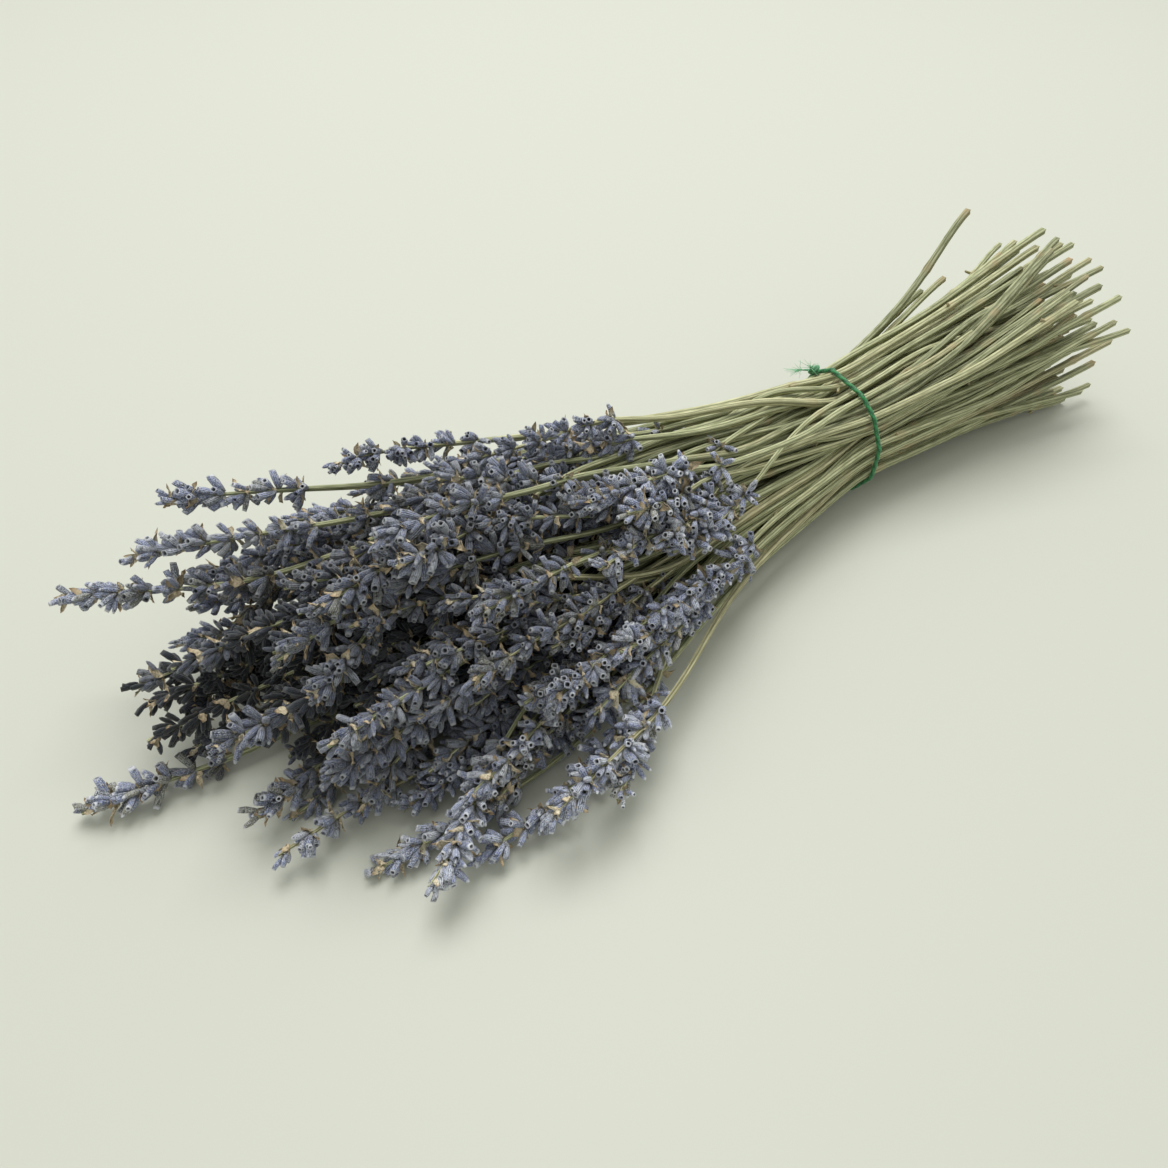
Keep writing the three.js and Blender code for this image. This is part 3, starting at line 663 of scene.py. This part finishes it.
def crown(tree, points, amount, shapes, seed, material, lean_share, lean_spread, slip, row_step,
          sizes):
    """A crown at each whorl: shapes round the rachis, leaning out of it. Every second shape may
    be more upright and higher up: row_step is its share of lean lost and its lift."""
    spread = add_node(tree, "GeometryNodeDuplicateElements",
                      {"Geometry": points, "Amount": amount}, domain="POINT")

    def chance(low, high, stream):
        whole = isinstance(low, int)
        keys = (4, 5) if whole else (2, 3)
        node = add_node(tree, "FunctionNodeRandomValue",
                        {keys[0]: low, keys[1]: high, "Seed": calculate(tree, "ADD", seed, stream)},
                        data_type="INT" if whole else "FLOAT")
        return node.outputs[2 if whole else 1]

    def stored(name, kind="FLOAT"):
        return add_node(tree, "GeometryNodeInputNamedAttribute", {"Name": name},
                        data_type=kind).outputs["Attribute"]

    share = calculate(tree, "DIVIDE", spread.outputs["Duplicate Index"], amount)
    turned = calculate(tree, "ADD", stored("turn"), chance(0.0, 0.09, 1))
    share = calculate(tree, "ADD", share, turned)
    angle = calculate(tree, "MULTIPLY", share, 2 * math.pi)
    second_row = calculate(tree, "MODULO", spread.outputs["Duplicate Index"], 2.0)
    upright = calculate(tree, "SUBTRACT", 1.0, calculate(tree, "MULTIPLY", second_row, row_step[0]))
    lean = calculate(tree, "MULTIPLY", stored("lean"), upright)
    lean = calculate(tree, "MULTIPLY", lean, lean_share)
    lean = calculate(tree, "ADD", lean, chance(-lean_spread, lean_spread, 2))
    raised = calculate(tree, "MULTIPLY", second_row, row_step[1])
    lift = calculate(tree, "ADD", chance(*slip, 3), raised)
    stand = add_node(tree, "FunctionNodeAlignRotationToVector",
                     {"Vector": stored("axis", "FLOAT_VECTOR")}, axis="Z").outputs[0]
    around = add_node(tree, "FunctionNodeAxisAngleToRotation", {"Axis": (0, 0, 1), "Angle": angle})
    facing = add_node(tree, "FunctionNodeRotateRotation",
                      {0: stand, 1: around.outputs[0]}, rotation_space="LOCAL").outputs[0]
    over = add_node(tree, "FunctionNodeAxisAngleToRotation", {"Axis": (1, 0, 0), "Angle": lean})
    leaning = add_node(tree, "FunctionNodeRotateRotation",
                       {0: facing, 1: over.outputs[0]}, rotation_space="LOCAL").outputs[0]
    foot = add_node(tree, "ShaderNodeCombineXYZ", {1: -RACHIS_REACH, 2: lift})
    foot = add_node(tree, "FunctionNodeRotateVector", {0: foot.outputs[0], 1: facing}).outputs[0]
    moved = add_node(tree, "GeometryNodeSetPosition",
                     {"Geometry": spread.outputs["Geometry"], "Offset": foot})
    size = calculate(tree, "MULTIPLY", stored("size"), chance(*sizes, 4))
    scale = add_node(tree, "ShaderNodeCombineXYZ",
                     {0: size, 1: size, 2: calculate(tree, "MULTIPLY", size, chance(0.9, 1.1, 5))})
    picked = add_node(tree, "GeometryNodeCollectionInfo", {"Collection": shapes,
                      "Separate Children": True, "Reset Children": True})
    placed = add_node(tree, "GeometryNodeInstanceOnPoints",
                      {"Points": moved.outputs[0], "Instance": picked.outputs[0],
                       "Pick Instance": True, "Instance Index": chance(0, 5, 6),
                       "Rotation": leaning, "Scale": scale.outputs[0]})
    shade = calculate(tree, "MULTIPLY", stored("tint"), 0.45)
    shade = calculate(tree, "ADD", shade, chance(0.0, 0.55, 7))
    tinted = add_node(tree, "GeometryNodeStoreNamedAttribute",
                      {"Geometry": placed.outputs[0], "Name": "tint", "Value": shade},
                      data_type="FLOAT", domain="INSTANCE")
    realised = add_node(tree, "GeometryNodeRealizeInstances", {"Geometry": tinted.outputs[0]})
    return add_node(tree, "GeometryNodeSetMaterial",
                    {"Geometry": realised.outputs[0], "Material": material}).outputs[0]


def spike_tree(calyx_material, bract_material):
    """Geometry Nodes: crowns of calyces and bracts on the whorls' points."""
    tree = bpy.data.node_groups.new("grow_whorls", "GeometryNodeTree")
    for name, kind, default in [("Whorls", "Geometry", None), ("Calyces", "Collection", None),
                                ("Bracts", "Collection", None), ("Bracts per whorl", "Int",
                                                        BRACTS_PER_WHORL),
                                ("Seed", "Int", 1)]:
        socket = tree.interface.new_socket(name, in_out="INPUT", socket_type="NodeSocket" + kind)
        if default is not None:
            socket.default_value = default
    tree.interface.new_socket("Flowers", in_out="OUTPUT", socket_type="NodeSocketGeometry")
    given = add_node(tree, "NodeGroupInput").outputs
    points = add_node(tree, "GeometryNodeMeshToPoints", {"Mesh": given["Whorls"]}).outputs[0]
    amount = add_node(tree, "GeometryNodeInputNamedAttribute", {"Name": "calyces"},
                      data_type="INT").outputs["Attribute"]
    flowers = crown(tree, points, amount, given["Calyces"], given["Seed"], calyx_material,
                    lean_share=1.0, lean_spread=0.55, slip=(-0.0012, 0.0009),
                    row_step=(0.45, 0.0012), sizes=(0.84, 1.12))
    seed = calculate(tree, "ADD", given["Seed"], 100.0)
    papers = crown(tree, points, given["Bracts per whorl"], given["Bracts"], seed, bract_material,
                   lean_share=1.15, lean_spread=0.35, slip=(-0.0016, 0.0006),
                   row_step=(0.0, 0.0), sizes=(0.5, 1.2))
    joined = add_node(tree, "GeometryNodeJoinGeometry")
    tree.links.new(flowers, joined.inputs[0])
    tree.links.new(papers, joined.inputs[0])
    add_node(tree, "NodeGroupOutput", {0: joined.outputs[0]})
    return tree


def whorl_mesh(name, members):
    """A point for each whorl, with its axis, how many calyces it has, how far they lean, and how
    far out in the bunch it lies, which sets how much painted shade its calyces get."""
    points = []
    values = {"axis": [], "calyces": [], "lean": [], "turn": [], "size": [], "tint": [],
              "outside": []}
    for stalk in members:
        run, path = stalk["run"], stalk["path"]
        for i, distance in enumerate(stalk["whorls"]):
            here = np.array([np.interp(distance, run, path[:, c]) for c in range(3)])
            ahead = np.array([np.interp(distance - LOOK_AHEAD, run, path[:, c])
                              for c in range(3)])
            if distance < LOOK_AHEAD:
                ahead = here + path[0] - path[1]
            axis = (ahead - here) / np.linalg.norm(ahead - here)
            axis = axis + [draw.gauss(0, WHORL_SLANT) for _ in range(3)]
            remote = distance > stalk["spike"]
            k = int(np.argmin(abs(stations - here[0])))
            neighbours = place[present[:, k], k]
            middle = neighbours.mean(axis=0)
            reach = np.linalg.norm(neighbours - middle, axis=1).max() + 1e-6
            points.append(tuple(here))
            values["axis"].append(axis / np.linalg.norm(axis))
            count = CALYCES_PER_REMOTE_WHORL if remote else CALYCES_PER_WHORL
            values["calyces"].append(draw.randint(*(CALYCES_AT_TIP if i == 0 else count)))
            lean = LEAN_AT_TIP if i == 0 else LEAN_IN_WHORLS + LEAN_GAIN * min(i, 4)
            values["lean"].append(math.radians(lean))
            values["turn"].append(draw.random())
            size = draw.uniform(*SIZES_AT_TIP) if i == 0 else 1.0
            values["size"].append(size * stalk["size_of_flowers"])
            values["tint"].append(stalk["tint_of_flowers"])
            # How far out the whorl lies; the calyx material paints shade on the whorls further in.
            values["outside"].append(min(1, np.linalg.norm(here[1:] - middle) / reach))
    mesh = bpy.data.meshes.new(name)
    mesh.from_pydata(points, [], [])
    for key, kind in (("lean", "FLOAT"), ("turn", "FLOAT"), ("size", "FLOAT"), ("tint", "FLOAT"),
                      ("outside", "FLOAT"), ("calyces", "INT")):
        mesh.attributes.new(key, kind, "POINT").data.foreach_set("value", values[key])
    axes = mesh.attributes.new("axis", "FLOAT_VECTOR", "POINT")
    axes.data.foreach_set("vector", np.array(values["axis"]).ravel())
    return mesh


for stalk in stalks:
    stalk["size_of_flowers"] = draw.uniform(*SPIKE_SIZES)
    stalk["tint_of_flowers"] = draw.random() ** 0.8

whorl_growth = spike_tree(dried_calyx(), papery_bract())

for seed, owner in enumerate(sorted({s["owner"] for s in stalks})):
    members = [s for s in stalks if s["owner"] == owner]
    kind, number = owner.split("_")
    node = "flower_spike_" + number if kind == "outer" else f"sheaf_{number}_flowers"
    name = ("outer_spike_" if kind == "outer" else "sheaf_spikes_") + number
    piece = grown_piece(name, whorl_mesh(name, members), whorl_growth,
                        {"Calyces": calyces, "Bracts": bracts, "Seed": seed,
                         "Bracts per whorl": BRACTS_PER_WHORL})
    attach(piece, "root")
    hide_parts(node)


# ---- Elastic tie --------------------------------------------------------------------------
# One turn of green elastic cord, two strands twisted together, drawn tight round the stems.
# It is knotted on the upper far side, where its two cut ends fray into a pale tuft.
CORD_RADIUS = 0.00078
CORD_SIDES = 12
CORD_PITCH = 0.0034         # the length of one turn of the two strands
PLY_DEPTH = 0.16
THREADS_PER_METRE = 4200.0
STEM_TO_CORD = 0.00125 + CORD_RADIUS
LOOP_POINTS = 420
LOOP_DIRECTIONS = 720       # in which the outermost stem is looked for
TIGHTENING_PASSES = 160
LOOP_WAVER = 0.0007
KNOT_ANGLE = math.radians(52)
KNOT_LIFT = 0.0009
KNOT_POINTS = 64
TAIL_LENGTH = 0.0042
TAIL_POINTS = 12
FRAYED_STRANDS = 22
STRAND_LENGTH = (0.0026, 0.0044)
STRAND_RADIUS = 0.00011


def green_elastic():
    """Covered elastic, mid green with a soft satin surface; the twist shows as paler flecks,
    and painted shade darkens the groove between the two plies.
    """
    material, tree = new_material("green_elastic_cord")
    ply = attribute(tree, "ply").outputs[2]
    place_on = add_node(tree, "ShaderNodeTexCoord").outputs["Object"]
    threads = noise(tree, place_on, THREADS_PER_METRE, 2.0)
    # Painted shade: the green is darkened in the groove where the two plies meet.
    base = mix(tree, between(tree, ply, 0.1, 0.9), colour("#0a3d1e"), colour("#1d7a3e"))
    base = mix(tree, between(tree, threads, 0.5, 0.7), base, colour("#4ba86c"))
    base = mix(tree, attribute(tree, "fray").outputs[2], base, colour("#8fd0a4"))
    finish_material(tree, base, threads, (0.5, 0.00008), 0.55, Sheen_Weight=0.2)
    return material


def cord_mesh(name, cords):
    """Tubes along lines of points. A tube swells and sinks as its two plies turn. It joins up
    with itself if it is closed, and else it has an end face at both ends."""
    verts, faces, ply_values, fray_values = [], [], [], []
    for line, radius, fray, closed in cords:
        line = np.array(line)
        count = len(line)
        after = np.roll(line, -1, axis=0)
        before = np.roll(line, 1, axis=0)
        if not closed:
            after[-1], before[0] = line[-1] * 2 - line[-2], line[0] * 2 - line[1]
        tangent = (after - before) / np.linalg.norm(after - before, axis=1)[:, None]
        side = np.cross(tangent, (1.0, 0.02, 0.03))
        side /= np.linalg.norm(side, axis=1)[:, None]
        up = np.cross(tangent, side)
        run = np.concatenate([[0], np.cumsum(np.linalg.norm(np.diff(line, axis=0), axis=1))])
        turns = max(1, round(run[-1] / CORD_PITCH)) if closed else run[-1] / CORD_PITCH
        first = len(verts)
        for i in range(count):
            taper = 1 if closed or fray == 0 else 1 - 0.75 * i / count
            for j in range(CORD_SIDES):
                a = 2 * math.pi * j / CORD_SIDES
                ply = 0.5 + 0.5 * math.cos(2 * a + 2 * math.pi * turns * i / count)
                r = radius * taper * (1 - PLY_DEPTH * (1 - ply))
                verts.append(line[i] + r * (side[i] * math.cos(a) + up[i] * math.sin(a)))
                ply_values.append(ply)
                fray_values.append(fray)
        for i in range(count if closed else count - 1):
            for j in range(CORD_SIDES):
                n = (j + 1) % CORD_SIDES
                a, b = first + i * CORD_SIDES, first + (i + 1) % count * CORD_SIDES
                faces.append((a + j, a + n, b + n, b + j))
        if not closed:
            faces.append(tuple(range(first, first + CORD_SIDES))[::-1])
            last = first + (count - 1) * CORD_SIDES
            faces.append(tuple(range(last, last + CORD_SIDES)))
    mesh = bpy.data.meshes.new(name)
    mesh.from_pydata([tuple(v) for v in verts], [], faces)
    mesh.attributes.new("ply", "FLOAT", "POINT").data.foreach_set("value", ply_values)
    mesh.attributes.new("fray", "FLOAT", "POINT").data.foreach_set("value", fray_values)
    mesh.polygons.foreach_set("use_smooth", [True] * len(faces))
    return mesh


def line_round_stems():
    """Evenly spaced points of the tie's line: it lies on the outermost stems, tight and smooth."""
    held = np.array([[np.interp(tie_x, s["path"][:, 0], s["path"][:, c]) for c in (1, 2)]
                     for s in stalks])
    directions = np.linspace(0, 2 * math.pi, LOOP_DIRECTIONS, endpoint=False)
    section = []
    for a in directions:
        direction = np.array([math.cos(a), math.sin(a)])
        outermost = held[np.argmax(held @ direction)]
        section.append(outermost + direction * STEM_TO_CORD)
    section = np.array(section)
    for _ in range(TIGHTENING_PASSES):
        section = (np.roll(section, 1, axis=0) + section + np.roll(section, -1, axis=0)) / 3
    section[:, 1] = np.maximum(section[:, 1], CORD_RADIUS)
    line = np.column_stack([tie_x + LOOP_WAVER * np.sin(directions * 2), section])
    steps = np.linalg.norm(np.roll(line, -1, axis=0) - line, axis=1)
    run = np.concatenate([[0], np.cumsum(steps)])
    line = np.vstack([line, line[:1]])
    even = np.linspace(0, run[-1], LOOP_POINTS, endpoint=False)
    return np.column_stack([np.interp(even, run, line[:, c]) for c in range(3)])


loop = line_round_stems()
knot_way = np.array([0, math.cos(KNOT_ANGLE), math.sin(KNOT_ANGLE)])
knot_side = np.array([0, -knot_way[2], knot_way[1]])
knot_at = loop[np.argmax((loop - loop.mean(axis=0)) @ knot_way)] + knot_way * KNOT_LIFT
knot_turn = []
for t in np.linspace(0, 2 * math.pi, KNOT_POINTS, endpoint=False):
    ring = 0.0011 + 0.0005 * math.cos(3 * t)
    knot_turn.append(knot_at + ring * math.cos(2 * t) * knot_side
                     + ring * math.sin(2 * t) * np.array([1, 0, 0])
                     + 0.0006 * math.sin(3 * t) * knot_way)

# Each cord: its line, its radius, how pale and frayed it is, and whether it is closed.
cords = [(loop, CORD_RADIUS, 0.0, True), (knot_turn, CORD_RADIUS * 0.85, 0.15, True)]
for side in (-1, 1):
    way = np.array([-0.8, 0.0, 0.0]) + knot_side * side * 0.55 + knot_way * 0.35
    tail = [knot_at + way * t * TAIL_LENGTH for t in np.linspace(0, 1, TAIL_POINTS)]
    cords.append((tail, CORD_RADIUS * 0.8, 0.4, False))
    for _ in range(FRAYED_STRANDS):
        spread = np.array([draw.gauss(0, 0.45) for _ in range(3)])
        strand = [tail[-3] + (way + spread * t) * t * draw.uniform(*STRAND_LENGTH)
                  for t in np.linspace(0, 1, 6)]
        cords.append((strand, STRAND_RADIUS, 1.0, False))

tie = bpy.data.objects.new("green_elastic", cord_mesh("green_elastic", cords))
tie.data.materials.append(green_elastic())
bpy.context.scene.collection.objects.link(tie)
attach(tie, "root")
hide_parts("elastic_tie")


# ---- Table, light and camera --------------------------------------------------------------
# The bunch lies on a plain pale table, under the even light of a bright room and one large soft
# light high above, a little behind it. The camera looks down on it from the flowers' near side.
CAMERA_FROM_TIE = (-0.2127, -0.1392, 0.1985)
CAMERA_TURN = math.radians(-36.87)
CAMERA_TILT = math.radians(90 - 46.64)
CAMERA_LENS = 26.2
TABLE_HALF = 3.0
ROOM_LIGHT = 0.76
SKYLIGHT_PLACE = (0.4, 0.65, 1.8)
SKYLIGHT_WIDTH = 1.3
SKYLIGHT_POWER = 31

table_mesh = bpy.data.meshes.new("table_top")
table_corners = [(x * TABLE_HALF, y * TABLE_HALF, 0)
                 for x, y in ((-1, -1), (1, -1), (1, 1), (-1, 1))]
table_mesh.from_pydata(table_corners, [], [(0, 1, 2, 3)])
table = bpy.data.objects.new("table_top", table_mesh)
bpy.context.scene.collection.objects.link(table)
table_material, table_tree = new_material("pale_table")
table_place = add_node(table_tree, "ShaderNodeTexCoord").outputs["Object"]
table_noise = noise(table_tree, table_place, 60.0)
finish_material(table_tree, colour("#c1c3b6"), table_noise, (0.02, 0.0001), 0.55)
table_mesh.materials.append(table_material)

world = bpy.data.worlds.new("studio")
bpy.context.scene.world = world
world.use_nodes = True
background = world.node_tree.nodes["Background"]
background.inputs["Color"].default_value = colour("#f4f6f2")
background.inputs["Strength"].default_value = ROOM_LIGHT

skylight = bpy.data.lights.new("skylight", "AREA")
skylight.size = SKYLIGHT_WIDTH
skylight.energy = SKYLIGHT_POWER
lamp = bpy.data.objects.new("skylight", skylight)
lamp.location = SKYLIGHT_PLACE
lamp.rotation_euler = (-Vector(SKYLIGHT_PLACE)).to_track_quat("-Z", "Y").to_euler()
bpy.context.scene.collection.objects.link(lamp)

camera_data = bpy.data.cameras.new("camera")
camera_data.lens = CAMERA_LENS
camera_data.sensor_width = 36
camera_data.clip_start = 0.01
camera = bpy.data.objects.new("camera", camera_data)
camera.location = (tie_x + CAMERA_FROM_TIE[0], tie_y + CAMERA_FROM_TIE[1], CAMERA_FROM_TIE[2])
camera.rotation_euler = (CAMERA_TILT, 0, CAMERA_TURN)
bpy.context.scene.collection.objects.link(camera)
bpy.context.scene.camera = camera
bpy.context.scene.view_settings.view_transform = "Standard"
